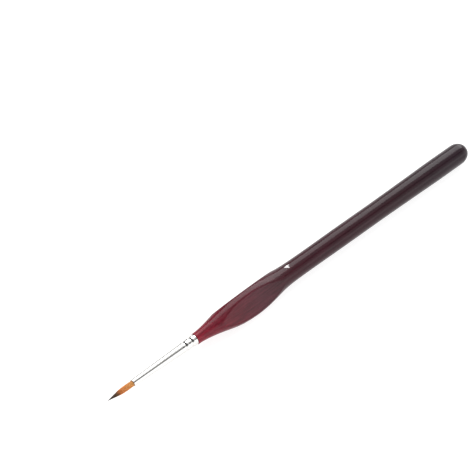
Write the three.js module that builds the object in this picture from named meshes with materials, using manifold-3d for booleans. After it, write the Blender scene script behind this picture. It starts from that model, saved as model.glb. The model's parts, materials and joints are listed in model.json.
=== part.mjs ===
// A fine detail brush: a turned and lacquered wooden handle with a three-sided grip, a bright
// ferrule crimped on the handle's tenon, and a round pointed tuft that bends in four places.
//
// Units are millimetres. The brush lies on a table as it is put down between strokes: its axis
// runs along X with the point of the tuft towards -X and the tail of the handle towards +X, one
// flat of the grip is down, Z is up and the table is at z = 0. The origin is on the table, under
// the middle of the brush. Inside this file a place along the brush is its distance from the
// handle's shoulder, where the ferrule ends: the handle is on the + side, the ferrule on the -.

import * as THREE from "three";
import { mergeVertices } from "three/addons/utils/BufferGeometryUtils.js";
import Module from "manifold-3d";

// Driving dimensions
const HANDLE_LENGTH = 143; // from the shoulder to the tail
const FERRULE_LENGTH = 28; // from the shoulder to the mouth
const TUFT_LENGTH = 10.7; // from the ferrule's mouth to the point of the tuft
const REST_RADIUS = 4.2; // from the axis to the lowest flat of the grip, and to the tail's side
const FERRULE_MOUTH_RADIUS = 1.33;
const FERRULE_REAR_RADIUS = 2.0;
const FERRULE_WALL = 0.25;
const CRIMP_WIDTH = 1.2;
const CRIMP_DEPTH = 0.24;
const TENON_LENGTH = 14;
const TENON_CHAMFER = 0.3;
const TENON_GLUE = 0.14; // thickness of the film of glue
const EPOXY_DEPTH = 1.8; // behind the ends of the hair
const EPOXY_WRAP = 0.7; // round them
const EPOXY_DISH = 0.3; // how far its back face is hollowed as it sets
const ROOTS_RADIUS = 1.0;
const THREAD_RADIUS = 0.08;
const MARK_HEIGHT = 2.3; // of the size number
const MARK_INK = 0.05;
const MARK_LIFT = 0.02; // between the ink and the handle
const FOUR_WIDTH = 0.84; // of the figure, for one unit of its height
const FIT_GAP = 0.04; // between two pieces that are pressed or glued together
const TUFT_GAP = 0.1; // between two pieces of the tuft
const SOCKET_RIM = THREE.MathUtils.degToRad(90 - 25 - 10); // leaves each bend 25 degrees each way
const SIDES = 30; // of everything that is round, so that nested walls stay parallel

// Where the tuft bends, and where the pieces inside the ferrule lie
const MOUTH = -FERRULE_LENGTH;
const POINT = MOUTH - TUFT_LENGTH;
const BENDS = [1.4, 3.2, 5.0, 6.8].map((fromMouth) => MOUTH - fromMouth);
const CRIMPS = [-4.6, -1.9];
const ROOTS_END = -20;
const THREAD_AT = -21.2;
const GLUE_END = -6.5; // where the film of glue stops, in front of the crimps
const MARK_AT = 44.6;
const GRIP_CUT_END = 60; // the flats' cuts run from the shoulder to here

// The three flats of the grip: angle from straight up, round the axis, and tilt. The lowest one is
// level. The other two slope in towards the neck, so they are set lower at their front end.
const FLATS = [
  { angle: THREE.MathUtils.degToRad(180), tilt: 0 },
  { angle: THREE.MathUtils.degToRad(60), tilt: THREE.MathUtils.degToRad(1.1) },
  { angle: THREE.MathUtils.degToRad(-60), tilt: THREE.MathUtils.degToRad(1.1) },
];
const FLAT_REAR = 40; // where the tilted flats are as far from the axis as the level one
const HANDLE_STEP = 3;

// The handle's outline: distance from the shoulder, and radius. It swells from a thin neck to the
// grip, narrows to a waist and widens slowly to the tail.
const HANDLE_OUTLINE = [
  [0, 2.12], [2.4, 2.22], [5.4, 2.6], [8.3, 3.12], [11, 3.7], [13.9, 4.4], [16.8, 5.05],
  [20, 5.5], [25.5, 5.76], [30.5, 5.52], [34.6, 5], [38, 4.46], [41, 4.04], [44.5, 3.8],
  [50, 3.7], [58, 3.7], [72, 3.79], [93, 3.82], [106, 3.95], [114, 4.05], [124, 4.18],
];
const TAIL_ROUNDING = 4.8; // how far in front of its end the tail begins to round off
const tailStart = HANDLE_LENGTH - TAIL_ROUNDING;
const TAIL_FLAT = 0.9; // radius of the flat spot in the middle of the tail

// The tuft's outline: distance from the ferrule's mouth, and radius
const TUFT_OUTLINE = [
  [0, 1.03], [1.2, 1.08], [3, 1.08], [4.4, 1.04], [5.5, 0.94], [6.5, 0.78], [7.5, 0.61],
  [8.6, 0.42], [9.6, 0.24], [TUFT_LENGTH, 0.05],
];

const wasm = await Module();
wasm.setup();

const TUFT_LINE = smoothOutline(TUFT_OUTLINE, 0.6)
  .map(([fromMouth, r]) => [MOUTH - fromMouth, r])
  .reverse();

// A smooth line through the points of an outline, as [along, radius] pairs, about step apart.
function smoothOutline(points, step) {
  const curve = new THREE.SplineCurve(points.map(([x, r]) => new THREE.Vector2(x, r)));
  const count = Math.ceil(Math.abs(points.at(-1)[0] - points[0][0]) / step);
  return curve.getSpacedPoints(count).map((p) => [p.x, p.y]);
}

// The radius of an outline at a place along it.
function radiusAt(outline, x) {
  const after = outline.findIndex(([at]) => at >= x);
  const [x0, r0] = outline[Math.max(after - 1, 0)];
  const [x1, r1] = outline[Math.max(after, 1)];
  return r0 + ((r1 - r0) * (x - x0)) / (x1 - x0);
}

// A quarter or other arc of a circle round [x, r], from one angle to another, both measured from
// the +X direction towards +R.
function arc(x, r, size, from, to, steps) {
  return Array.from({ length: steps + 1 }, (_, i) => {
    const angle = from + ((to - from) * i) / steps;
    return [x + size * Math.cos(angle), r + size * Math.sin(angle)];
  });
}

// Turns an outline of [along, radius] pairs round the brush's axis. The outline runs with the
// material on its right. It starts and ends on the axis, or it ends where it starts.
function turned(outline) {
  const points = outline.map(([x, r]) => new THREE.Vector2(Math.max(r, 0), x));
  const geometry = new THREE.LatheGeometry(points, SIDES, Math.PI);
  return closed(geometry.rotateZ(-Math.PI / 2));
}

// The same geometry with shared corners and without the flat triangles of a pole.
function closed(geometry) {
  geometry.deleteAttribute("normal");
  geometry.deleteAttribute("uv");
  const merged = mergeVertices(geometry, 1e-4);
  const index = merged.getIndex().array;
  const kept = [];
  for (let i = 0; i < index.length; i += 3) {
    const [a, b, c] = index.slice(i, i + 3);
    if (a !== b && b !== c && c !== a) kept.push(a, b, c);
  }
  merged.setIndex(kept);
  return merged;
}

function toSolid(geometry) {
  const mesh = new wasm.Mesh({
    numProp: 3,
    vertProperties: new Float32Array(geometry.getAttribute("position").array),
    triVerts: new Uint32Array(geometry.getIndex().array),
  });
  return new wasm.Manifold(mesh);
}

function toGeometry(solid) {
  const { vertProperties, triVerts } = solid.getMesh();
  const geometry = new THREE.BufferGeometry();
  geometry.setAttribute("position", new THREE.BufferAttribute(vertProperties, 3));
  geometry.setIndex(new THREE.BufferAttribute(triVerts, 1));
  return geometry;
}

// How deep the crimps press the ferrule in, at a place along it.
function crimpDepth(x) {
  const reach = CRIMP_WIDTH / 2;
  const nearest = Math.min(...CRIMPS.map((at) => Math.abs(x - at)));
  return nearest < reach ? (CRIMP_DEPTH / 2) * (1 + Math.cos((Math.PI * nearest) / reach)) : 0;
}

function ferruleRadius(x) {
  const share = x / MOUTH;
  return THREE.MathUtils.lerp(FERRULE_REAR_RADIUS, FERRULE_MOUTH_RADIUS, share) - crimpDepth(x);
}

function boreRadius(x) {
  return ferruleRadius(x) - FERRULE_WALL;
}

// Places across each crimp, close enough to follow its groove.
function crimpedPlaces() {
  const across = [-1, -0.6, -0.3, 0, 0.3, 0.6, 1].map((share) => (share * CRIMP_WIDTH) / 2);
  return CRIMPS.flatMap((at) => across.map((offset) => at + offset));
}

// The wooden stick, turned in one piece with its tenon, with three flats cut along the grip.
function handle() {
  const tenonFront = -TENON_LENGTH;
  const glued = TENON_GLUE + 2 * FIT_GAP;
  const tenon = [
    [tenonFront, 0],
    [tenonFront, boreRadius(tenonFront) - glued - TENON_CHAMFER],
    [tenonFront + TENON_CHAMFER, boreRadius(tenonFront) - glued],
    [GLUE_END, boreRadius(GLUE_END) - glued],
    ...crimpedPlaces().map((x) => [x, boreRadius(x) - FIT_GAP]),
    [0, boreRadius(0) - FIT_GAP],
  ];
  const swell = smoothOutline([...HANDLE_OUTLINE, [tailStart, REST_RADIUS]], HANDLE_STEP);
  const tail = arc(0, 0, 1, Math.PI / 2, 0, 7)
    .map(([x, r]) => [x * TAIL_ROUNDING, TAIL_FLAT + r * (REST_RADIUS - TAIL_FLAT)])
    .map(([x, r]) => [tailStart + x, r]);
  const turnedStick = toSolid(turned([...tenon, ...swell, ...tail.slice(1), [HANDLE_LENGTH, 0]]));
  return toGeometry(FLATS.reduce((stick, flat) => stick.subtract(waste(flat)), turnedStick));
}

// What a flat takes off the grip.
function waste({ angle, tilt }) {
  const block = new THREE.BoxGeometry(GRIP_CUT_END, 20, 10);
  block.translate(GRIP_CUT_END / 2 - FLAT_REAR, 0, 5).rotateY(-tilt);
  block.translate(FLAT_REAR, 0, REST_RADIUS).rotateX(angle);
  return toSolid(closed(block));
}

// The seamless tapering tube. Its mouth is rounded, and its rear is crimped on the tenon.
function ferrule() {
  const lip = FERRULE_WALL / 2;
  const rear = -FIT_GAP;
  const outside = crimpedPlaces().map((x) => [x, ferruleRadius(x)]);
  const inside = crimpedPlaces().map((x) => [x, boreRadius(x)]);
  const mouth = arc(MOUTH + lip, ferruleRadius(MOUTH) - lip, lip, 1.5 * Math.PI, 0.5 * Math.PI, 4);
  const outline = [...mouth, ...outside, [rear, ferruleRadius(rear)], [rear, boreRadius(rear)]];
  return turned([...outline, ...inside.reverse(), mouth[0]]);
}

// The film of glue that fills the space round the front of the tenon.
function tenonGlue() {
  const front = -TENON_LENGTH + TENON_CHAMFER;
  const back = GLUE_END - FIT_GAP;
  const outer = (x) => boreRadius(x) - FIT_GAP;
  const inner = (x) => outer(x) - TENON_GLUE;
  const outline = [[front, inner(front)], [front, outer(front)], [back, outer(back)]];
  return turned([...outline, [back, inner(back)], outline[0]]);
}

// The plug of epoxy behind the hair. It is a cup that wraps the ends of the roots.
function epoxyPlug() {
  const floor = ROOTS_END + FIT_GAP;
  const rim = ROOTS_END - EPOXY_WRAP;
  const back = ROOTS_END + EPOXY_DEPTH;
  const socket = ROOTS_RADIUS + FIT_GAP;
  return turned([
    [floor, 0],
    [floor, socket],
    [rim, socket],
    [rim, boreRadius(rim) - FIT_GAP],
    [back, boreRadius(back) - FIT_GAP],
    [back - EPOXY_DISH, 0],
  ]);
}

// The thread that is tied round the roots before they go into the ferrule.
function bindingThread() {
  const radius = ROOTS_RADIUS + FIT_GAP + THREAD_RADIUS;
  return turned(arc(THREAD_AT, radius, THREAD_RADIUS, 2 * Math.PI, 0, 6));
}

// The hollow end of one piece of the tuft, in which the round end of the next one turns.
function socketAt(bend) {
  const size = radiusAt(TUFT_LINE, bend) + TUFT_GAP;
  return arc(bend, 0, size, 0, SOCKET_RIM, 4);
}

function ballAt(bend) {
  return arc(bend, 0, radiusAt(TUFT_LINE, bend), Math.PI / 2, 0, 6).slice(1);
}

// The outside of the tuft from one place to another.
function tuftSide(from, to) {
  const between = TUFT_LINE.filter(([x]) => x > from + 0.1 && x < to - 0.1);
  return [[from, radiusAt(TUFT_LINE, from)], ...between, [to, radiusAt(TUFT_LINE, to)]];
}

// The part of the hair that doesn't move: the roots in the ferrule, and what is just outside.
function hairRoots() {
  const socket = socketAt(BENDS[0]);
  const side = tuftSide(socket.at(-1)[0], MOUTH);
  return turned([...socket, ...side, [ROOTS_END, ROOTS_RADIUS], [ROOTS_END, 0]]);
}

// One moving piece of the tuft, from its ball at one bend to its socket at the next.
function tuftPiece(bend, nextBend) {
  const socket = socketAt(nextBend);
  return turned([...socket, ...tuftSide(socket.at(-1)[0], bend), ...ballAt(bend)]);
}

// The last moving piece, which ends in the point of the tuft.
function tuftPoint(bend) {
  return turned([[POINT, 0], ...tuftSide(POINT, bend), ...ballAt(bend)]);
}

// The printed size number, cut out of a thin skin that lies on the handle. Its head points
// towards the tuft.
function sizeMark() {
  const line = smoothOutline(HANDLE_OUTLINE, HANDLE_STEP);
  const reach = line.filter(([x]) => Math.abs(x - MARK_AT) < MARK_HEIGHT + HANDLE_STEP);
  const raised = (by) => reach.map(([x, r]) => [x, r + by]);
  const outside = raised(MARK_LIFT + MARK_INK);
  const skin = toSolid(turned([...outside, ...raised(MARK_LIFT).reverse(), outside[0]]));
  const stamp = new THREE.ExtrudeGeometry(figureFour(), { depth: 5, bevelEnabled: false });
  stamp.translate(-FOUR_WIDTH / 2, -0.5, 0).scale(MARK_HEIGHT, MARK_HEIGHT, 1);
  stamp.rotateZ(Math.PI / 2).translate(MARK_AT, 0, 0);
  return toGeometry(skin.intersect(toSolid(closed(stamp))));
}

// A plain figure four, one unit high, with its foot on the line and its left edge at zero.
function figureFour() {
  const bar = 0.15;
  const stem = [0.5, 0.5 + bar];
  const level = [0.22, 0.22 + bar];
  const outline = [
    [stem[0], 0], [stem[1], 0], [stem[1], level[0]], [FOUR_WIDTH, level[0]],
    [FOUR_WIDTH, level[1]], [stem[1], level[1]], [stem[1], 1], [stem[0] - 0.03, 1],
    [0, level[1] + 0.02], [0, level[0]], [stem[0], level[0]],
  ];
  const counter = [[0.17, level[1]], [stem[0], level[1]], [stem[0], 0.82]];
  const toPoint = ([x, y]) => new THREE.Vector2(x, y);
  const shape = new THREE.Shape(outline.map(toPoint));
  shape.holes.push(new THREE.Path(counter.map(toPoint)));
  return shape;
}

function finish(color, roughness, metalness) {
  return new THREE.MeshStandardMaterial({ color, roughness, metalness, flatShading: true });
}

const brush = new THREE.Group();
brush.position.set(-(HANDLE_LENGTH + POINT) / 2, 0, REST_RADIUS);

function add(name, geometry, material) {
  const mesh = new THREE.Mesh(geometry, material);
  mesh.name = name;
  brush.add(mesh);
}

add("handle", handle(), finish(0x4a1a22, 0.35, 0));
add("size_mark", sizeMark(), finish(0xe8e6e2, 0.6, 0));
add("ferrule", ferrule(), finish(0xd8d9da, 0.15, 1));
add("tenon_glue", tenonGlue(), finish(0xd9c9a0, 0.4, 0));
add("epoxy_plug", epoxyPlug(), finish(0xc9a25a, 0.3, 0));
add("binding_thread", bindingThread(), finish(0xe9e4d6, 0.9, 0));
add("hair_roots", hairRoots(), finish(0xd9964a, 0.55, 0));
add("hair_neck", tuftPiece(BENDS[0], BENDS[1]), finish(0xd98f48, 0.55, 0));
add("hair_belly", tuftPiece(BENDS[1], BENDS[2]), finish(0xd58646, 0.55, 0));
add("hair_shoulder", tuftPiece(BENDS[2], BENDS[3]), finish(0xa9693c, 0.55, 0));
add("hair_point", tuftPoint(BENDS[3]), finish(0x4a352a, 0.55, 0));

export default brush;
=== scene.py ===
# %% [markdown]
# # A fine detail brush
# The brush is a turned and lacquered wooden stick, a bright metal tube that is crimped on the
# stick's tenon, and a pointed tuft of fine filaments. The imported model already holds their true
# places and the four bends of the tuft. Here each piece gets the shape and finish of the real
# one. Everything is in metres, and the brush lies along X with its point towards -X.

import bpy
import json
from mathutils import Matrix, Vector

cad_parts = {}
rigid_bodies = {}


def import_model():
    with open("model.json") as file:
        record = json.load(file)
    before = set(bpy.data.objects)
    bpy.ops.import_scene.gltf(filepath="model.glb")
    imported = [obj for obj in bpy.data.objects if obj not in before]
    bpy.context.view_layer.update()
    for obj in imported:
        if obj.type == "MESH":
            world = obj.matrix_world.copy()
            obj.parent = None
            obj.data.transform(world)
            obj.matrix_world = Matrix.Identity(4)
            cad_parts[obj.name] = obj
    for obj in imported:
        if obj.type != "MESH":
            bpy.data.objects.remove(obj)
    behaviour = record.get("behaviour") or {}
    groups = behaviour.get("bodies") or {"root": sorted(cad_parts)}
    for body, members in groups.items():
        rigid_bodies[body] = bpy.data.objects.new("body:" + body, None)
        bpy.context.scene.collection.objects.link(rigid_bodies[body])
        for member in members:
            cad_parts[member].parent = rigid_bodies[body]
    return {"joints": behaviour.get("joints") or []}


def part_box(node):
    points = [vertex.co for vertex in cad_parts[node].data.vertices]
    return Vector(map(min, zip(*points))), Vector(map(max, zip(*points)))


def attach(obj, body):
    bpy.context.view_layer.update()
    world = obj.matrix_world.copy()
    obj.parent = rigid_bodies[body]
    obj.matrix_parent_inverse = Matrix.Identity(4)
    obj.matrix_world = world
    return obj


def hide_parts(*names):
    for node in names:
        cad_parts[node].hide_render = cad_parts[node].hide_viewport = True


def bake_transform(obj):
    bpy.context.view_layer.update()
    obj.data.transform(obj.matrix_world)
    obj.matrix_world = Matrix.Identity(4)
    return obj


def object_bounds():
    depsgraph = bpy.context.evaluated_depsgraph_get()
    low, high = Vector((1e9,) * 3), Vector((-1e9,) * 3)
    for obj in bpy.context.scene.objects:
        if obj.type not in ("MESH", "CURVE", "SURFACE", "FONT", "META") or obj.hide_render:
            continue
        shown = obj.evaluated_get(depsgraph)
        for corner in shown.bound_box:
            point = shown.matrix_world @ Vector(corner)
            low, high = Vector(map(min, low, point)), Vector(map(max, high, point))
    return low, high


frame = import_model()
cad_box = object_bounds()

# %% [markdown]
# ## Places along the brush
# A turner works from a few marks along the stick. Here the marks are read from the frame, so
# nothing is fitted by eye. The tuft's bends lie on the axis, which gives the axis its height. Two
# pieces that are pressed or glued together keep a hair's breadth between them.

# %% Read the marks
import json
import math
import random

import bpy
from mathutils import Matrix, Vector

MM = 0.001
FIT_GAP = 0.04 * MM
joints = {joint["name"]: joint for joint in frame["joints"]}
axis_height = joints["neck_press"]["pos_m"][2]
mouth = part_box("ferrule")[0].x
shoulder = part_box("ferrule")[1].x + FIT_GAP
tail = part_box("handle")[1].x
tuft_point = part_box("hair_point")[0].x
table = cad_box[0].z
print("handle, ferrule and tuft in mm:", [
    round(length / MM, 2) for length in (tail - shoulder, shoulder - mouth, mouth - tuft_point)
])

# %% [markdown]
# ## Turning
# Almost every piece of a brush is round, so one helper does what a lathe does. It adds a small
# plane, merges it into one point, extrudes that point along the outline, and uses Spin to turn
# the outline round the axis. Merging by distance closes the seam and the ends.

# %% A lathe
TURN_STEPS = 120
SAME_PLACE = 1e-6


def clear_selection():
    """Leaves edit mode and deselects everything, because operators act on all that is selected."""
    if bpy.context.object and bpy.context.object.mode != "OBJECT":
        bpy.ops.object.mode_set(mode="OBJECT")
    bpy.ops.object.select_all(action="DESELECT")


def settle(piece, smooth_angle=35):
    """Puts the piece's place into its mesh and smooths the shading up to that angle."""
    clear_selection()
    piece.select_set(True)
    bpy.context.view_layer.objects.active = piece
    bpy.ops.object.transform_apply(location=True, rotation=True, scale=True)
    bpy.ops.object.shade_smooth_by_angle(angle=math.radians(smooth_angle))
    print(piece.name, "has", len(piece.data.polygons), "faces")
    return piece


def turn(name, outline, steps=TURN_STEPS):
    """Turns an outline of (place along the brush, radius) pairs round the brush's axis."""
    clear_selection()
    start_x, start_r = outline[0]
    bpy.ops.mesh.primitive_plane_add(size=MM, location=(start_x, 0, axis_height + start_r))
    piece = bpy.context.object
    piece.name = piece.data.name = name
    bpy.ops.object.mode_set(mode="EDIT")
    bpy.ops.mesh.merge(type="CENTER")
    for (x0, r0), (x1, r1) in zip(outline, outline[1:]):
        move = {"value": (x1 - x0, 0, r1 - r0)}
        bpy.ops.mesh.extrude_region_move(TRANSFORM_OT_translate=move)
    bpy.ops.mesh.select_all(action="SELECT")
    bpy.ops.mesh.spin(
        steps=steps, angle=2 * math.pi, center=(0, 0, axis_height), axis=(1, 0, 0)
    )
    bpy.ops.mesh.select_all(action="SELECT")
    bpy.ops.mesh.remove_doubles(threshold=SAME_PLACE)
    bpy.ops.mesh.normals_make_consistent(inside=False)
    bpy.ops.object.mode_set(mode="OBJECT")
    return piece


# %% [markdown]
# A turned outline is a smooth curve through a few measured points. This helper finds the radius
# of such a curve at any place: between two points it is a cubic whose slope at each point is
# that of the line between the point's neighbours.

# %% A smooth outline
def slope_at(points, i):
    (x0, r0), (x1, r1) = points[max(i - 1, 0)], points[min(i + 1, len(points) - 1)]
    return (r1 - r0) / (x1 - x0)


def radius_at(points, x):
    """The radius of the smooth curve through the points, at a place along it."""
    i = next((k for k in range(1, len(points) - 1) if points[k][0] >= x), len(points) - 1)
    (x0, r0), (x1, r1) = points[i - 1], points[i]
    span = x1 - x0
    t = min(max((x - x0) / span, 0), 1)
    return (
        r0 * (1 + 2 * t) * (1 - t) ** 2
        + slope_at(points, i - 1) * span * t * (1 - t) ** 2
        + r1 * t * t * (3 - 2 * t)
        + slope_at(points, i) * span * t * t * (t - 1)
    )


def places(start, end, step):
    """Evenly spaced places from start to end, no further apart than step."""
    count = max(1, math.ceil(abs(end - start) / step))
    return [start + (end - start) * i / count for i in range(count + 1)]


def arc(x, r, size_x, size_r, start, end, count):
    """Points on an ellipse round (x, r). Angles are in degrees from +X towards the outside."""
    turns = [math.radians(start + (end - start) * i / count) for i in range(count + 1)]
    return [(x + size_x * math.cos(a), r + size_r * math.sin(a)) for a in turns]


# %% [markdown]
# ## The ferrule
# The ferrule is a seamless metal tube, drawn to a taper. Its mouth is rounded so that it doesn't
# cut the hair, and two crimps press it into the tenon. A tube could be a cone with a Solidify
# modifier, but here the wall is part of the outline, which gives the rounded mouth, the grooves
# and the bead at the rear in one go.

# %% The ferrule's measures
MOUTH_RADIUS = 1.33 * MM
REAR_RADIUS = 2.0 * MM
WALL = 0.25 * MM
CRIMPS = [shoulder - 4.9 * MM, shoulder - 2.2 * MM]
CRIMP_HALF = 0.6 * MM
CRIMP_DEPTH = 0.26 * MM
BEAD = 0.07 * MM
CRIMP_STEP = 0.06 * MM
TUBE_STEP = 2.5 * MM


def crimp_depth(x):
    """How deep the nearest groove is at this place."""
    off = min(abs(x - crimp) for crimp in CRIMPS) / CRIMP_HALF
    return CRIMP_DEPTH / 2 * (1 + math.cos(math.pi * off)) if off < 1 else 0


def bead_height(x):
    """The metal swells a little beside each groove, where the crimp has pushed it out."""
    off = min(abs(abs(x - crimp) - 1.25 * CRIMP_HALF) for crimp in CRIMPS) / CRIMP_HALF
    return BEAD / 2 * (1 + math.cos(math.pi * off)) if off < 1 else 0


def ferrule_radius(x):
    share = (shoulder - x) / (shoulder - mouth)
    taper = REAR_RADIUS + (MOUTH_RADIUS - REAR_RADIUS) * share
    return taper - crimp_depth(x) + bead_height(x)


def bore_radius(x):
    return ferrule_radius(x) - bead_height(x) - WALL


# %% Turn the ferrule
lip = WALL / 2
rear = shoulder - FIT_GAP
crimped = places(CRIMPS[0] - 3 * CRIMP_HALF, rear - lip, CRIMP_STEP)
smooth_stretch = places(mouth + lip, crimped[0], TUBE_STEP)
along = smooth_stretch[:-1] + crimped
mouth_lip = arc(mouth + lip, MOUTH_RADIUS - lip, lip, lip, -90, -270, 10)
rear_lip = arc(rear - lip, ferrule_radius(rear - lip) - lip, lip, lip, 90, -90, 8)
outside = [(x, ferrule_radius(x)) for x in along]
inside = [(x, bore_radius(x)) for x in reversed(along)]
ferrule_outline = mouth_lip + outside[1:] + rear_lip[1:] + inside[1:-1] + mouth_lip[:1]
ferrule = turn("bright_ferrule", ferrule_outline)
settle(ferrule)

# %% [markdown]
# ## The handle
# The stick is turned in one go, from the hidden tenon over the swelling of the grip to the round
# tail. Rings are close together along the grip, because the flats are cut there, and further
# apart where the outline hardly changes.

# %% The handle's measures
TENON_LENGTH = 14 * MM
TENON_GLUE = 0.14 * MM
TENON_CHAMFER = 0.3 * MM
SHOULDER_ROUNDING = 0.14 * MM
TAIL_ROUNDING = 4.8 * MM
TAIL_FLAT = 0.9 * MM
rest_radius = axis_height - table
tail_start = tail - TAIL_ROUNDING
HANDLE_OUTLINE = [
    (0, 2.12), (2.4, 2.22), (5.4, 2.6), (8.3, 3.12), (11, 3.7), (13.9, 4.4), (16.8, 5.05),
    (20, 5.5), (25.5, 5.76), (30.5, 5.52), (34.6, 5), (38, 4.46), (41, 4.04), (44.5, 3.8),
    (50, 3.7), (58, 3.7), (72, 3.79), (93, 3.82), (106, 3.95), (114, 4.05), (124, 4.18),
]
swell = [(shoulder + x * MM, r * MM) for x, r in HANDLE_OUTLINE] + [(tail_start, rest_radius)]
grip = (shoulder + 8 * MM, shoulder + 46 * MM)
NECK_STEP, GRIP_STEP, STICK_STEP = 0.8 * MM, 0.25 * MM, 2 * MM


def handle_radius(x):
    return radius_at(swell, x)


# %% Turn the handle
glued = TENON_GLUE + 2 * FIT_GAP
tenon_front = shoulder - TENON_LENGTH
glue_end = crimped[0]
front_radius = bore_radius(tenon_front) - glued
tenon = [
    (tenon_front, 0),
    (tenon_front, front_radius - TENON_CHAMFER),
    (tenon_front + TENON_CHAMFER, front_radius),
    (glue_end, bore_radius(glue_end) - glued),
    *[(x, bore_radius(x) - FIT_GAP) for x in crimped[::2]],
    (shoulder, bore_radius(rear) - FIT_GAP),
]
edge = SHOULDER_ROUNDING
shoulder_edge = arc(shoulder + edge, handle_radius(shoulder) - edge, edge, edge, 180, 90, 5)
stations = (
    places(shoulder + 2 * edge, grip[0], NECK_STEP)
    + places(grip[0], grip[1], GRIP_STEP)[1:]
    + places(grip[1], tail_start, STICK_STEP)[1:-1]
)
tail_dome = arc(tail_start, TAIL_FLAT, TAIL_ROUNDING, rest_radius - TAIL_FLAT, 90, 0, 18)
stick = [(x, handle_radius(x)) for x in stations]
handle = turn("lacquered_handle", tenon + shoulder_edge + stick + tail_dome + [(tail, 0)])

# %% [markdown]
# Three flats make the grip. A maker would plane one, turn the stick by a third and plane the
# next. The same is done here: the points below a plane are scaled flat onto it, the edge of the
# flat is smoothed as lacquer softens it, and the stick is turned by a third. After three turns it
# is back where it was. The flat that lies on the table is level, and the other two are tilted a
# little, because they slope in towards the neck. A Boolean cut would leave long thin faces.

# %% Pick points by their place
def pick(piece, wanted):
    """Selects the piece's points whose place is wanted, and leaves it in edit mode."""
    bpy.ops.object.mode_set(mode="OBJECT")
    mesh = piece.data
    mesh.polygons.foreach_set("select", [False] * len(mesh.polygons))
    mesh.edges.foreach_set("select", [False] * len(mesh.edges))
    chosen = [bool(wanted(piece.matrix_world @ point.co)) for point in mesh.vertices]
    mesh.vertices.foreach_set("select", chosen)
    bpy.ops.object.mode_set(mode="EDIT")
    bpy.ops.mesh.select_mode(type="VERT")
    return sum(chosen)


# %% Plane the three flats
EDGE_SMOOTHING = 4
FLAT_TILTS = [math.radians(angle) for angle in (0, 1.1, 1.1)]
flat_rear = shoulder + 40 * MM


def plane_flat(piece, tilt):
    """Flattens the grip's lowest side from the flat's rear end forwards, and softens its edge."""
    def is_waste(place):
        level = table + (flat_rear - place.x) * math.tan(tilt)
        return place.z < level and grip[0] < place.x < grip[1]

    count = pick(piece, is_waste)
    bpy.ops.transform.resize(value=(1, 1, 0), center_override=(0, 0, table))
    bpy.ops.transform.rotate(
        value=-tilt, orient_axis="Y", center_override=(flat_rear, 0, table)
    )
    bpy.ops.mesh.region_to_loop()
    bpy.ops.mesh.select_mode(type="VERT")
    bpy.ops.mesh.select_more()
    bpy.ops.mesh.vertices_smooth(factor=0.5, repeat=EDGE_SMOOTHING)
    return count


for tilt in FLAT_TILTS:
    print("points on this flat:", plane_flat(handle, tilt))
    bpy.ops.mesh.select_all(action="SELECT")
    bpy.ops.transform.rotate(
        value=math.radians(120), orient_axis="X", center_override=(0, 0, axis_height)
    )
settle(handle)

# %% [markdown]
# ## Inside the ferrule
# The parts that nobody sees still hold the brush together. A film of glue fills the space round
# the tenon, a plug of epoxy grips the ends of the hair, and a few turns of thread tie the roots.
# The film and the plug are turned like the rest. The thread is a short helix with a round section.

# %% Glue and epoxy
ROOTS_END = mouth + 8 * MM
ROOTS_RADIUS = 1.0 * MM
EPOXY_DEPTH = 1.8 * MM
EPOXY_WRAP = 0.7 * MM
EPOXY_DISH = 0.3 * MM
FILM_STEP = 1.2 * MM
HIDDEN_STEPS = 72


def film(x, side):
    """The radius of the glue's outer side, or of its inner side."""
    return bore_radius(x) - FIT_GAP - (TENON_GLUE if side == "inner" else 0)


film_ends = (tenon_front + TENON_CHAMFER, glue_end - FIT_GAP)
film_places = places(*film_ends, FILM_STEP)
film_outline = [(x, film(x, "outer")) for x in film_places]
film_outline += [(x, film(x, "inner")) for x in reversed(film_places)]
glue = turn("tenon_glue_film", film_outline + film_outline[:1], steps=HIDDEN_STEPS)
settle(glue)

plug_floor = ROOTS_END + FIT_GAP
plug_rim = ROOTS_END - EPOXY_WRAP
plug_back = ROOTS_END + EPOXY_DEPTH
socket = ROOTS_RADIUS + FIT_GAP
back_radius = bore_radius(plug_back) - FIT_GAP
dish = [
    (plug_back - EPOXY_DISH * (1 - share * share), back_radius * share)
    for share in (0.9, 0.75, 0.6, 0.45, 0.3, 0.15, 0)
]
plug = turn("epoxy_resin_plug", [
    (plug_floor, 0), (plug_floor, socket), (plug_rim, socket),
    (plug_rim, bore_radius(plug_rim) - FIT_GAP), (plug_back, back_radius), *dish,
], steps=HIDDEN_STEPS)
settle(plug)

# %% [markdown]
# The thread could be a curve with a bevel. The Screw modifier gives the same helix as a plain
# mesh: it turns a small circle round the axis and moves it on by its own width at each turn. The
# two open ends are then filled.

# %% Binding thread
THREAD_RADIUS = 0.06 * MM
THREAD_TURNS = 4
THREAD_PITCH = 2.1 * THREAD_RADIUS
THREAD_STEPS = 40
thread_start = mouth + 6.8 * MM - THREAD_TURNS / 2 * THREAD_PITCH
thread_centre = ROOTS_RADIUS + FIT_GAP + THREAD_RADIUS
clear_selection()
bpy.ops.mesh.primitive_circle_add(
    vertices=8, radius=THREAD_RADIUS, location=(thread_start, 0, axis_height + thread_centre),
    rotation=(math.radians(90), 0, 0),
)
thread = bpy.context.object
thread.name = thread.data.name = "root_binding_thread"
bpy.ops.object.transform_apply(location=False, rotation=True, scale=True)
bpy.context.scene.cursor.location = (thread_start, 0, axis_height)
bpy.ops.object.origin_set(type="ORIGIN_CURSOR")
screw = thread.modifiers.new("screw", "SCREW")
screw.axis = "X"
screw.angle = THREAD_TURNS * 2 * math.pi
screw.screw_offset = THREAD_TURNS * THREAD_PITCH
screw.steps = screw.render_steps = THREAD_TURNS * THREAD_STEPS
bpy.ops.object.modifier_apply(modifier="screw")
bpy.ops.object.mode_set(mode="EDIT")
bpy.ops.mesh.select_all(action="DESELECT")
bpy.ops.mesh.select_non_manifold()
bpy.ops.mesh.fill_holes(sides=0)
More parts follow.
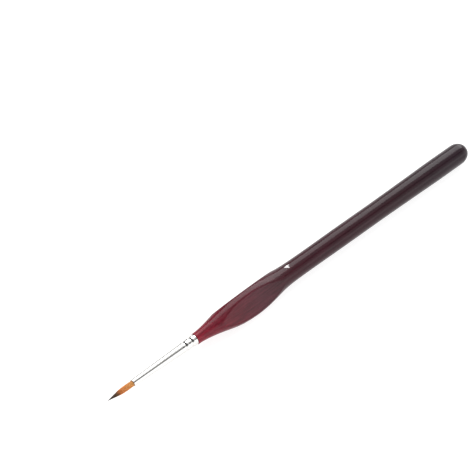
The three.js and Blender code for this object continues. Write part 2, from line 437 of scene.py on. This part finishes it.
bpy.ops.mesh.select_all(action="SELECT")
bpy.ops.mesh.normals_make_consistent(inside=False)
bpy.ops.object.mode_set(mode="OBJECT")
settle(thread, smooth_angle=60)

# %% [markdown]
# ## The hair
# A round tuft is a bundle of filaments that are tied together, so that each one keeps its own
# place from the roots to the point. Each filament is thick at its root and runs out to nothing,
# and those on the outside are a little shorter. A particle system would be quick, but it doesn't
# give a mesh. One filament is modelled as a thin five-sided rod, and its copies are bent into
# their places. A seeded spiral spreads them evenly over the bundle.

# %% The tuft's measures
TUFT_OUTLINE = [
    (-8, 1.0), (-1, 1.02), (0, 1.03), (1.2, 1.08), (3, 1.08), (4.4, 1.04), (5.5, 0.94),
    (6.5, 0.78), (7.5, 0.61), (8.6, 0.42), (9.6, 0.24), (10.7, 0.05),
]
TUFT_LENGTH = mouth - tuft_point
HAIRS = 420
HAIR_RADIUS = 0.05 * MM
HAIR_TIP = 0.006 * MM
HAIR_TAPER = 3.5 * MM
OUTERMOST = 0.955
SHORTER_OUTSIDE = 0.34
MOST_SWAY = 0.03
SPIRAL = math.radians(137.508)
bends = [mouth - joints[name]["pos_m"][0] for name in (
    "neck_press", "belly_sweep", "shoulder_press", "point_sweep"
)]
between_bends = [(a + b) / 2 for a, b in zip(bends, bends[1:])]
print("bends in mm from the mouth:", [round(bend / MM, 2) for bend in bends])


def tuft_radius(along):
    return radius_at([(x * MM, r * MM) for x, r in TUFT_OUTLINE], along)


# %% One filament
clear_selection()
bpy.ops.mesh.primitive_cylinder_add(vertices=5, radius=1, depth=1, end_fill_type="NGON")
rod = bpy.context.object
bpy.ops.object.mode_set(mode="EDIT")
for cut in (-0.3, -0.1, 0.1, 0.3):
    bpy.ops.mesh.select_all(action="SELECT")
    bpy.ops.mesh.bisect(plane_co=(0, 0, cut), plane_no=(0, 0, 1))
bpy.ops.object.mode_set(mode="OBJECT")
rod_points = [tuple(point.co) for point in rod.data.vertices]
rod_faces = [tuple(face.vertices) for face in rod.data.polygons]
bpy.data.objects.remove(rod)
print("one filament has", len(rod_faces), "faces")

# %% The place of each filament
random.seed(4)
hairs = []
for number in range(HAIRS):
    out = math.sqrt((number + 0.5) / HAIRS) * OUTERMOST
    shortest = 1 - SHORTER_OUTSIDE * out ** 1.5
    hairs.append({
        "out": out,
        "angle": number * SPIRAL,
        "end": TUFT_LENGTH * (1 - (1 - shortest) * random.random()),
        "sway": random.uniform(-MOST_SWAY, MOST_SWAY),
        "phase": random.uniform(0, 2 * math.pi),
        "tint": random.random(),
    })


def hair_centre(hair, along):
    """Where the middle of this filament is, at a distance from the ferrule's mouth."""
    sway = hair["sway"] * max(along, 0) / TUFT_LENGTH
    out = tuft_radius(along) * hair["out"] * (1 + sway)
    angle = hair["angle"] + 2 * sway * math.sin(hair["phase"])
    return mouth - along, out * math.cos(angle), axis_height + out * math.sin(angle)


def hair_thickness(hair, along):
    """A filament thins as the bundle closes, and tapers over its last few millimetres."""
    packing = min(1, tuft_radius(along) / tuft_radius(2 * MM))
    taper = min(1, max(0, (hair["end"] - along) / HAIR_TAPER)) ** 0.6
    return HAIR_TIP + (HAIR_RADIUS * packing - HAIR_TIP) * taper


# %% [markdown]
# The tuft bends at four hinges, and a piece can bend across only one of them. So the filaments
# are cut into four lengths half way between the bends. The map of each length holds how far
# along the filament a point is, and a number of its own for each filament, which the colour uses.

# %% Lay the filaments
def lay_hair(name, start, end):
    """One piece with the length of every filament between two distances from the mouth."""
    points, faces, shares = [], [], []
    for hair in hairs:
        last = min(end, hair["end"])
        if last - start < 2 * HAIR_RADIUS:
            continue
        first_point = len(points)
        for px, py, pz in rod_points:
            along = start + (last - start) * (0.5 - pz)
            x, y, z = hair_centre(hair, along)
            thick = hair_thickness(hair, along)
            points.append((x, y + thick * px, z + thick * py))
            shares.append((min(max(along / TUFT_LENGTH, 0), 1), hair["tint"]))
        faces += [tuple(first_point + corner for corner in face) for face in rod_faces]
    mesh = bpy.data.meshes.new(name)
    mesh.from_pydata(points, [], faces)
    lengths = mesh.uv_layers.new(name="along_and_tint")
    for loop in mesh.loops:
        lengths.data[loop.index].uv = shares[loop.vertex_index]
    piece = bpy.data.objects.new(name, mesh)
    bpy.context.scene.collection.objects.link(piece)
    return settle(piece, smooth_angle=80)


cuts = [mouth - ROOTS_END, *between_bends, TUFT_LENGTH]
hair_names = ["neck_hair", "belly_hair", "shoulder_hair", "point_hair"]
hair_pieces = [lay_hair(name, a, b) for name, a, b in zip(hair_names, cuts, cuts[1:])]

# %% [markdown]
# ## The size number
# A small figure is printed on the handle behind the grip, so that a painter finds the right
# brush in a jar. Its head points towards the tuft. It is a text object turned into a mesh, cut
# into narrow strips so that it can bend round the stick, and dropped straight down onto the wood
# with a Shrinkwrap modifier. Solidify gives the ink its thickness.

# %% Print the number
MARK_HEIGHT = 2.3 * MM
MARK_INK = 0.03 * MM
MARK_LIFT = 0.012 * MM
MARK_STRIP = 0.1 * MM
MARK_STRIPS = 23
mark_low, mark_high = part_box("size_mark")
mark_centre = (mark_low + mark_high) / 2
clear_selection()
bpy.ops.object.text_add(location=(0, 0, 0))
mark = bpy.context.object
mark.name = mark.data.name = "printed_size_number"
mark.data.body = "4"
mark.data.size = 3 * MM
mark.data.offset = 0.02 * MM
bpy.ops.object.convert(target="MESH")
bpy.ops.object.mode_set(mode="EDIT")
bpy.ops.mesh.select_all(action="SELECT")
bpy.ops.mesh.remove_doubles(threshold=SAME_PLACE)
for strip in range(1, MARK_STRIPS + 1):
    bpy.ops.mesh.select_all(action="SELECT")
    bpy.ops.mesh.bisect(plane_co=(strip * MARK_STRIP, 0, 0), plane_no=(1, 0, 0))
bpy.ops.object.mode_set(mode="OBJECT")
size_now = mark.dimensions.y
corners = [Vector(corner) for corner in mark.bound_box]
middle = (corners[0] + corners[6]) / 2
grow = MARK_HEIGHT / size_now
mark.scale = (grow, grow, 1)
mark.rotation_euler = (0, 0, math.radians(90))
mark.location = (
    mark_centre.x + middle.y * grow, mark_centre.y - middle.x * grow, mark_high.z + MM
)
bpy.ops.object.transform_apply(location=True, rotation=True, scale=True)
drop = mark.modifiers.new("drop", "SHRINKWRAP")
drop.target = handle
drop.wrap_method = "PROJECT"
drop.use_project_z = True
drop.use_negative_direction = True
drop.use_positive_direction = False
drop.offset = MARK_LIFT
bpy.ops.object.modifier_apply(modifier="drop")
thicken = mark.modifiers.new("ink", "SOLIDIFY")
thicken.thickness = MARK_INK
thicken.offset = 1
bpy.ops.object.modifier_apply(modifier="ink")
settle(mark)
print("number is", [round(size / MM, 2) for size in mark.dimensions], "mm")

# %% [markdown]
# ## Finishes
# A finish is a Principled shader with a pattern behind it. Patterns that more than one finish
# uses are node groups: long marks that run along the brush, a satin surface that is glossier in
# some places than in others, and small specks.

# %% Node helpers
def shade(hex_code):
    """A colour given as on a paint card, as the linear values that Blender uses."""
    parts = [int(hex_code[i:i + 2], 16) / 255 for i in (0, 2, 4)]
    linear = [c / 12.92 if c <= 0.04045 else ((c + 0.055) / 1.055) ** 2.4 for c in parts]
    return (*linear, 1)


def add_node(tree, kind, **values):
    """Adds a node, and sets its inputs by name and its own settings."""
    node = tree.nodes.new(kind)
    for name, value in values.items():
        label = name.replace("_", " ").title()
        if hasattr(node, name):
            setattr(node, name, value)
        else:
            node.inputs[label].default_value = value
    return node


def new_group(name, inputs, outputs):
    """An empty node group with plain number inputs, and the given outputs."""
    tree = bpy.data.node_groups.new(name, "ShaderNodeTree")
    for label, value in inputs.items():
        socket = tree.interface.new_socket(label, in_out="INPUT", socket_type="NodeSocketFloat")
        socket.default_value = value
    for label in outputs:
        tree.interface.new_socket(label, in_out="OUTPUT", socket_type="NodeSocketFloat")
    return tree, tree.nodes.new("NodeGroupInput"), tree.nodes.new("NodeGroupOutput")


def use_group(tree, group, **values):
    node = tree.nodes.new("ShaderNodeGroup")
    node.node_tree = group
    for name, value in values.items():
        node.inputs[name.replace("_", " ").title()].default_value = value
    return node


# %% Long marks along the brush
marks, entry, leave = new_group("long marks", {"Along": 300, "Across": 3000}, ["Value"])
place = add_node(marks, "ShaderNodeTexCoord")
scale = add_node(marks, "ShaderNodeCombineXYZ")
stretched = add_node(marks, "ShaderNodeVectorMath", operation="MULTIPLY")
noise = add_node(marks, "ShaderNodeTexNoise", scale=1, detail=4, roughness=0.6)
marks.links.new(entry.outputs["Along"], scale.inputs["X"])
marks.links.new(entry.outputs["Across"], scale.inputs["Y"])
marks.links.new(entry.outputs["Across"], scale.inputs["Z"])
marks.links.new(place.outputs["Object"], stretched.inputs[0])
marks.links.new(scale.outputs["Vector"], stretched.inputs[1])
marks.links.new(stretched.outputs["Vector"], noise.inputs["Vector"])
marks.links.new(noise.outputs["Fac"], leave.inputs["Value"])

# %% Satin surface
satin, entry, leave = new_group(
    "satin surface", {"Scale": 400, "Smoothest": 0.2, "Roughest": 0.4}, ["Roughness"]
)
place = add_node(satin, "ShaderNodeTexCoord")
noise = add_node(satin, "ShaderNodeTexNoise", detail=3, roughness=0.55)
spread = add_node(satin, "ShaderNodeMapRange")
spread.inputs["From Min"].default_value = 0.3
spread.inputs["From Max"].default_value = 0.7
satin.links.new(place.outputs["Object"], noise.inputs["Vector"])
satin.links.new(entry.outputs["Scale"], noise.inputs["Scale"])
satin.links.new(noise.outputs["Fac"], spread.inputs["Value"])
satin.links.new(entry.outputs["Smoothest"], spread.inputs["To Min"])
satin.links.new(entry.outputs["Roughest"], spread.inputs["To Max"])
satin.links.new(spread.outputs["Result"], leave.inputs["Roughness"])

# %% Specks
specks, entry, leave = new_group("specks", {"Scale": 900, "Size": 0.1}, ["Mask"])
place = add_node(specks, "ShaderNodeTexCoord")
cells = add_node(specks, "ShaderNodeTexVoronoi", randomness=1)
edge_of_speck = add_node(specks, "ShaderNodeMapRange")
edge_of_speck.inputs["To Min"].default_value = 1
edge_of_speck.inputs["To Max"].default_value = 0
specks.links.new(place.outputs["Object"], cells.inputs["Vector"])
specks.links.new(entry.outputs["Scale"], cells.inputs["Scale"])
specks.links.new(cells.outputs["Distance"], edge_of_speck.inputs["Value"])
specks.links.new(entry.outputs["Size"], edge_of_speck.inputs["From Max"])
specks.links.new(edge_of_speck.outputs["Result"], leave.inputs["Mask"])
print("groups:", [group.name for group in bpy.data.node_groups])


# %% A new finish
def new_finish(name, **constants):
    """A material, its tree and its shader, with the constants set on the shader's sockets."""
    material = bpy.data.materials.new(name)
    material.use_nodes = True
    shader = material.node_tree.nodes["Principled BSDF"]
    for label, value in constants.items():
        shader.inputs[label.replace("_", " ").title().replace("Ior", "IOR")].default_value = value
    return material, material.node_tree, shader


def colour_ramp(tree, stops):
    """A colour ramp through (position, paint card colour) pairs."""
    node = add_node(tree, "ShaderNodeValToRGB")
    while len(node.color_ramp.elements) < len(stops):
        node.color_ramp.elements.new(1)
    for element, (position, hex_code) in zip(node.color_ramp.elements, stops):
        element.position = position
        element.color = shade(hex_code)
    return node


def bump(tree, shader, height, distance, strength=1):
    node = add_node(tree, "ShaderNodeBump", distance=distance, strength=strength)
    tree.links.new(height, node.inputs["Height"])
    tree.links.new(node.outputs["Normal"], shader.inputs["Normal"])
    return node


def mixed(tree, kind, factor, a, b):
    """Mixes two colours. Each may be a socket or a colour."""
    node = add_node(tree, "ShaderNodeMix", data_type="RGBA", blend_type=kind)
    for socket, value in ((node.inputs[0], factor), (node.inputs[6], a), (node.inputs[7], b)):
        if isinstance(value, bpy.types.NodeSocket):
            tree.links.new(value, socket)
        else:
            socket.default_value = value
    return node.outputs[2]


# %% [markdown]
# ## Lacquer
# The stick is dipped in wine-red lacquer and its rear half in near-black, and the two fade into
# each other. The wood's grain shows faintly under the coat. The colour follows the place along
# the brush. A painted image wrapped round the stick would do it too, but would blur close up.

# %% Lacquer finish
lacquer, tree, shader = new_finish(
    "wine to black lacquer", coat_weight=0.55, coat_roughness=0.15, coat_ior=1.33,
    specular_ior_level=0.05,
)
place = add_node(tree, "ShaderNodeTexCoord")
parts = add_node(tree, "ShaderNodeSeparateXYZ")
share = add_node(tree, "ShaderNodeMapRange")
share.inputs["From Min"].default_value = shoulder
share.inputs["From Max"].default_value = tail
tree.links.new(place.outputs["Object"], parts.inputs["Vector"])
tree.links.new(parts.outputs["X"], share.inputs["Value"])
fade = colour_ramp(tree, [
    (0, "9a283a"), (0.04, "862736"), (0.12, "6b2430"), (0.2, "5d2934"), (0.28, "451b24"),
    (0.4, "3f1b25"), (0.55, "3a1a23"), (0.75, "30171f"), (1, "281621"),
])
tree.links.new(share.outputs["Result"], fade.inputs["Fac"])
grain = use_group(tree, marks, along=120, across=2600)
grain_tone = colour_ramp(tree, [(0.35, "8f8f8f"), (0.65, "ffffff")])
tree.links.new(grain.outputs["Value"], grain_tone.inputs["Fac"])
stained = mixed(tree, "MULTIPLY", 0.6, fade.outputs["Color"], grain_tone.outputs["Color"])
nibs = use_group(tree, specks, scale=700, size=0.09)
dusty = mixed(tree, "MIX", nibs.outputs["Mask"], stained, shade("3a2a2c"))
tree.links.new(dusty, shader.inputs["Base Color"])
satin_here = use_group(tree, satin, scale=260, smoothest=0.28, roughest=0.42)
tree.links.new(satin_here.outputs["Roughness"], shader.inputs["Roughness"])
bump(tree, shader, grain.outputs["Value"], 0.02 * MM, 0.35)

# %% Ferrule finish
metal, tree, shader = new_finish("bright plated metal", metallic=1)
drawn = use_group(tree, marks, along=90, across=9000)
drawn_tone = colour_ramp(tree, [(0.3, "d9d8d5"), (0.7, "f1f0ee")])
tree.links.new(drawn.outputs["Value"], drawn_tone.inputs["Fac"])
pits = use_group(tree, specks, scale=2200, size=0.07)
pitted = mixed(tree, "MIX", pits.outputs["Mask"], drawn_tone.outputs["Color"], shade("8d8a84"))
tree.links.new(pitted, shader.inputs["Base Color"])
polish = use_group(tree, satin, scale=500, smoothest=0.07, roughest=0.16)
tree.links.new(polish.outputs["Roughness"], shader.inputs["Roughness"])
bump(tree, shader, drawn.outputs["Value"], 0.004 * MM, 0.5)

# %% [markdown]
# ## Hair, ink and the hidden finishes
# The filaments are amber with a dark brown dyed point. The colour runs along the map that each
# filament carries, so it bends with the tuft, and each filament is a little lighter or darker
# than its neighbours.

# %% Hair finish
hair_finish, tree, shader = new_finish("two-tone filament", specular_ior_level=0.4)
lengths = add_node(tree, "ShaderNodeUVMap", uv_map="along_and_tint")
parts = add_node(tree, "ShaderNodeSeparateXYZ")
tree.links.new(lengths.outputs["UV"], parts.inputs["Vector"])
shifted = add_node(tree, "ShaderNodeMapRange")
shifted.inputs["To Min"].default_value = -0.05
shifted.inputs["To Max"].default_value = 0.05
total = add_node(tree, "ShaderNodeMath", operation="ADD")
tree.links.new(parts.outputs["Y"], shifted.inputs["Value"])
tree.links.new(parts.outputs["X"], total.inputs[0])
tree.links.new(shifted.outputs["Result"], total.inputs[1])
dyed = colour_ramp(tree, [
    (0, "f0b060"), (0.3, "f8a85c"), (0.5, "f09850"), (0.56, "d8823c"), (0.64, "86603e"),
    (0.78, "5f4a3c"), (1, "58483c"),
])
tree.links.new(total.outputs["Value"], dyed.inputs["Fac"])
tint = colour_ramp(tree, [(0, "d6cdc4"), (1, "ffffff")])
tree.links.new(parts.outputs["Y"], tint.inputs["Fac"])
tinted = mixed(tree, "MULTIPLY", 0.7, dyed.outputs["Color"], tint.outputs["Color"])
tree.links.new(tinted, shader.inputs["Base Color"])
gloss = add_node(tree, "ShaderNodeMapRange")
gloss.inputs["To Min"].default_value = 0.32
gloss.inputs["To Max"].default_value = 0.5
tree.links.new(parts.outputs["Y"], gloss.inputs["Value"])
tree.links.new(gloss.outputs["Result"], shader.inputs["Roughness"])


# %% Ink, glue, epoxy and thread
def speckled_finish(name, light, dark, speck, scale, smooth, rough, **constants):
    """A finish whose colour clouds between two tones, with specks and an uneven gloss."""
    material, tree, shader = new_finish(name, **constants)
    surface = use_group(tree, satin, scale=scale, smoothest=smooth, roughest=rough)
    tree.links.new(surface.outputs["Roughness"], shader.inputs["Roughness"])
    clouds = add_node(tree, "ShaderNodeMapRange")
    clouds.inputs["From Min"].default_value = smooth
    clouds.inputs["From Max"].default_value = rough
    tree.links.new(surface.outputs["Roughness"], clouds.inputs["Value"])
    base = mixed(tree, "MIX", clouds.outputs["Result"], shade(light), shade(dark))
    spots = use_group(tree, specks, scale=scale * 3, size=0.12)
    tree.links.new(mixed(tree, "MIX", spots.outputs["Mask"], base, shade(speck)),
                   shader.inputs["Base Color"])
    bump(tree, shader, surface.outputs["Roughness"], 0.02 * MM, 0.5)
    return material


ink = speckled_finish("white printing ink", "fbfafa", "f1eded", "ddd2d4", 1500, 0.45, 0.6)
glue_finish = speckled_finish("dried wood glue", "e0cf9f", "c9b27c", "a48d5c", 900, 0.25, 0.45)
resin = speckled_finish(
    "amber resin", "c98f3a", "a56c22", "e6c07a", 700, 0.06, 0.2, transmission_weight=0.35,
)
cotton = speckled_finish("twisted cotton", "efe9da", "d8cfb8", "b8ab8e", 6000, 0.75, 0.95)

# %% [markdown]
# ## Putting the finishes on
# Each rigid piece takes its finish, rides on the body that it belongs to, and stands for the plain
# solid of the imported model. The hair takes its finish and stands for its plain solids too, but
# rides on no body here.

# %% Finish and attach the rigid pieces
rigid_pieces = [
    (handle, lacquer, "lacquered_wood", "handle"),
    (ferrule, metal, "ferrule_metal", "ferrule"),
    (glue, glue_finish, "wood_glue", "tenon_glue"),
    (plug, resin, "epoxy", "epoxy_plug"),
    (thread, cotton, "thread", "binding_thread"),
    (mark, ink, "white_ink", "size_mark"),
]
for piece, finish, slot, node_name in rigid_pieces:
    piece.data.materials.clear()
    piece.data.materials.append(finish)
    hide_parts(node_name)
    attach(piece, "brush")
print("rigid pieces:", len(rigid_pieces))

# %% Finish the hair
bend_nodes = [("hair_roots", "hair_neck"), ("hair_belly",), ("hair_shoulder",), ("hair_point",)]
for i, piece in enumerate(hair_pieces):
    piece.data.materials.append(hair_finish)
    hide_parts(*bend_nodes[i])
    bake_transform(piece)
print("hair pieces:", hair_names)

# %% [markdown]
# ## The studio
# The brush lies on white paper that glows a little, as on a light table, so it casts hardly any
# shadow. A strong soft light behind the brush makes the long highlight on the lacquer. Two weaker
# ones, above and in front, turn the metal white. The gap between them is the thin dark line along
# the ferrule. The camera stands well off with a long lens.

# %% Floor
clear_selection()
FLOOR_SIZE = 6
FLOOR_GAP = 0.02 * MM
bpy.ops.mesh.primitive_plane_add(size=FLOOR_SIZE, location=(0, 0, table - FLOOR_GAP))
floor = bpy.context.object
floor.name = "studio_floor"
paper, tree, shader = new_finish(
    "glowing white paper", roughness=0.9, specular_ior_level=0.1,
    emission_color=(1, 1, 1, 1), emission_strength=0.88,
)
fibres = add_node(tree, "ShaderNodeTexNoise", scale=300, detail=4)
paper_tone = colour_ramp(tree, [(0.3, "9c9c9c"), (0.7, "a4a4a4")])
tree.links.new(fibres.outputs["Fac"], paper_tone.inputs["Fac"])
tree.links.new(paper_tone.outputs["Color"], shader.inputs["Base Color"])
floor.data.materials.append(paper)

# %% [markdown]
# From a low angle the camera looks past the floor. A low round wall of the same paper, far behind
# everything, keeps the background white there. It could be a sky, but then the dark gaps between
# the lights would be gone too.

# %% Backdrop
WALL_RADIUS = 2.6
WALL_HEIGHT = 0.8
clear_selection()
bpy.ops.mesh.primitive_cylinder_add(
    vertices=96, radius=WALL_RADIUS, depth=WALL_HEIGHT, end_fill_type="NOTHING",
    location=(0, 0, table + WALL_HEIGHT / 2 - 2 * FLOOR_GAP),
)
backdrop = bpy.context.object
backdrop.name = "studio_backdrop"
backdrop.data.materials.append(paper)
print("staged:", floor.name, backdrop.name)


# %% Lights
LIGHT_DISTANCE = 1.2


def soft_light(name, direction, size, power):
    """A soft light as long and as wide as size, along the brush, that shines at its middle."""
    clear_selection()
    towards = Vector(direction).normalized()
    bpy.ops.object.light_add(type="AREA", location=towards * LIGHT_DISTANCE)
    light = bpy.context.object
    light.name = name
    light.data.shape = "RECTANGLE"
    light.data.size, light.data.size_y = size
    light.data.energy = power
    across = towards.cross(Vector((1, 0, 0))).normalized()
    along = across.cross(towards)
    turn_to = Matrix((along, across, towards)).transposed()
    light.rotation_euler = turn_to.to_euler()
    return light


soft_light("back_strip_light", (0.495, 0.42, 0.76), (1.8, 0.85), 21.5)
soft_light("top_card_light", (0.495, -0.106, 0.862), (1.8, 0.8), 3.6)
soft_light("front_card_light", (0.495, -0.82, 0.29), (1.6, 1.0), 5.2)
print("lights:", [item.name for item in bpy.data.lights])

# %% Dim surroundings
world = bpy.data.worlds.new("dim studio")
world.use_nodes = True
sky = world.node_tree.nodes["Background"]
sky.inputs["Color"].default_value = (1, 1, 1, 1)
sky.inputs["Strength"].default_value = 0.06
bpy.context.scene.world = world
bpy.context.scene.view_settings.view_transform = "Standard"

# %% Camera
AZIMUTH = math.radians(-43.76)
ELEVATION = math.radians(44.3)
DISTANCE = 0.508
LENS = 106
LOOK_ALONG = 0.3152
LOOK_ASIDE = 0.1909
handle_length = tail - shoulder
target = Vector((
    shoulder + LOOK_ALONG * handle_length, LOOK_ASIDE * handle_length, axis_height
))
back = Vector((
    math.sin(AZIMUTH) * math.cos(ELEVATION),
    -math.cos(AZIMUTH) * math.cos(ELEVATION),
    math.sin(ELEVATION),
))
bpy.ops.object.camera_add(location=target + back * DISTANCE)
camera = bpy.context.object
camera.name = "studio_camera"
camera.data.lens = LENS
camera.data.clip_start = 0.01
camera.rotation_euler = (-back).to_track_quat("-Z", "Y").to_euler()
bpy.context.scene.camera = camera
print("camera at", [round(value, 3) for value in camera.location])

# %% Clear the selection
clear_selection()
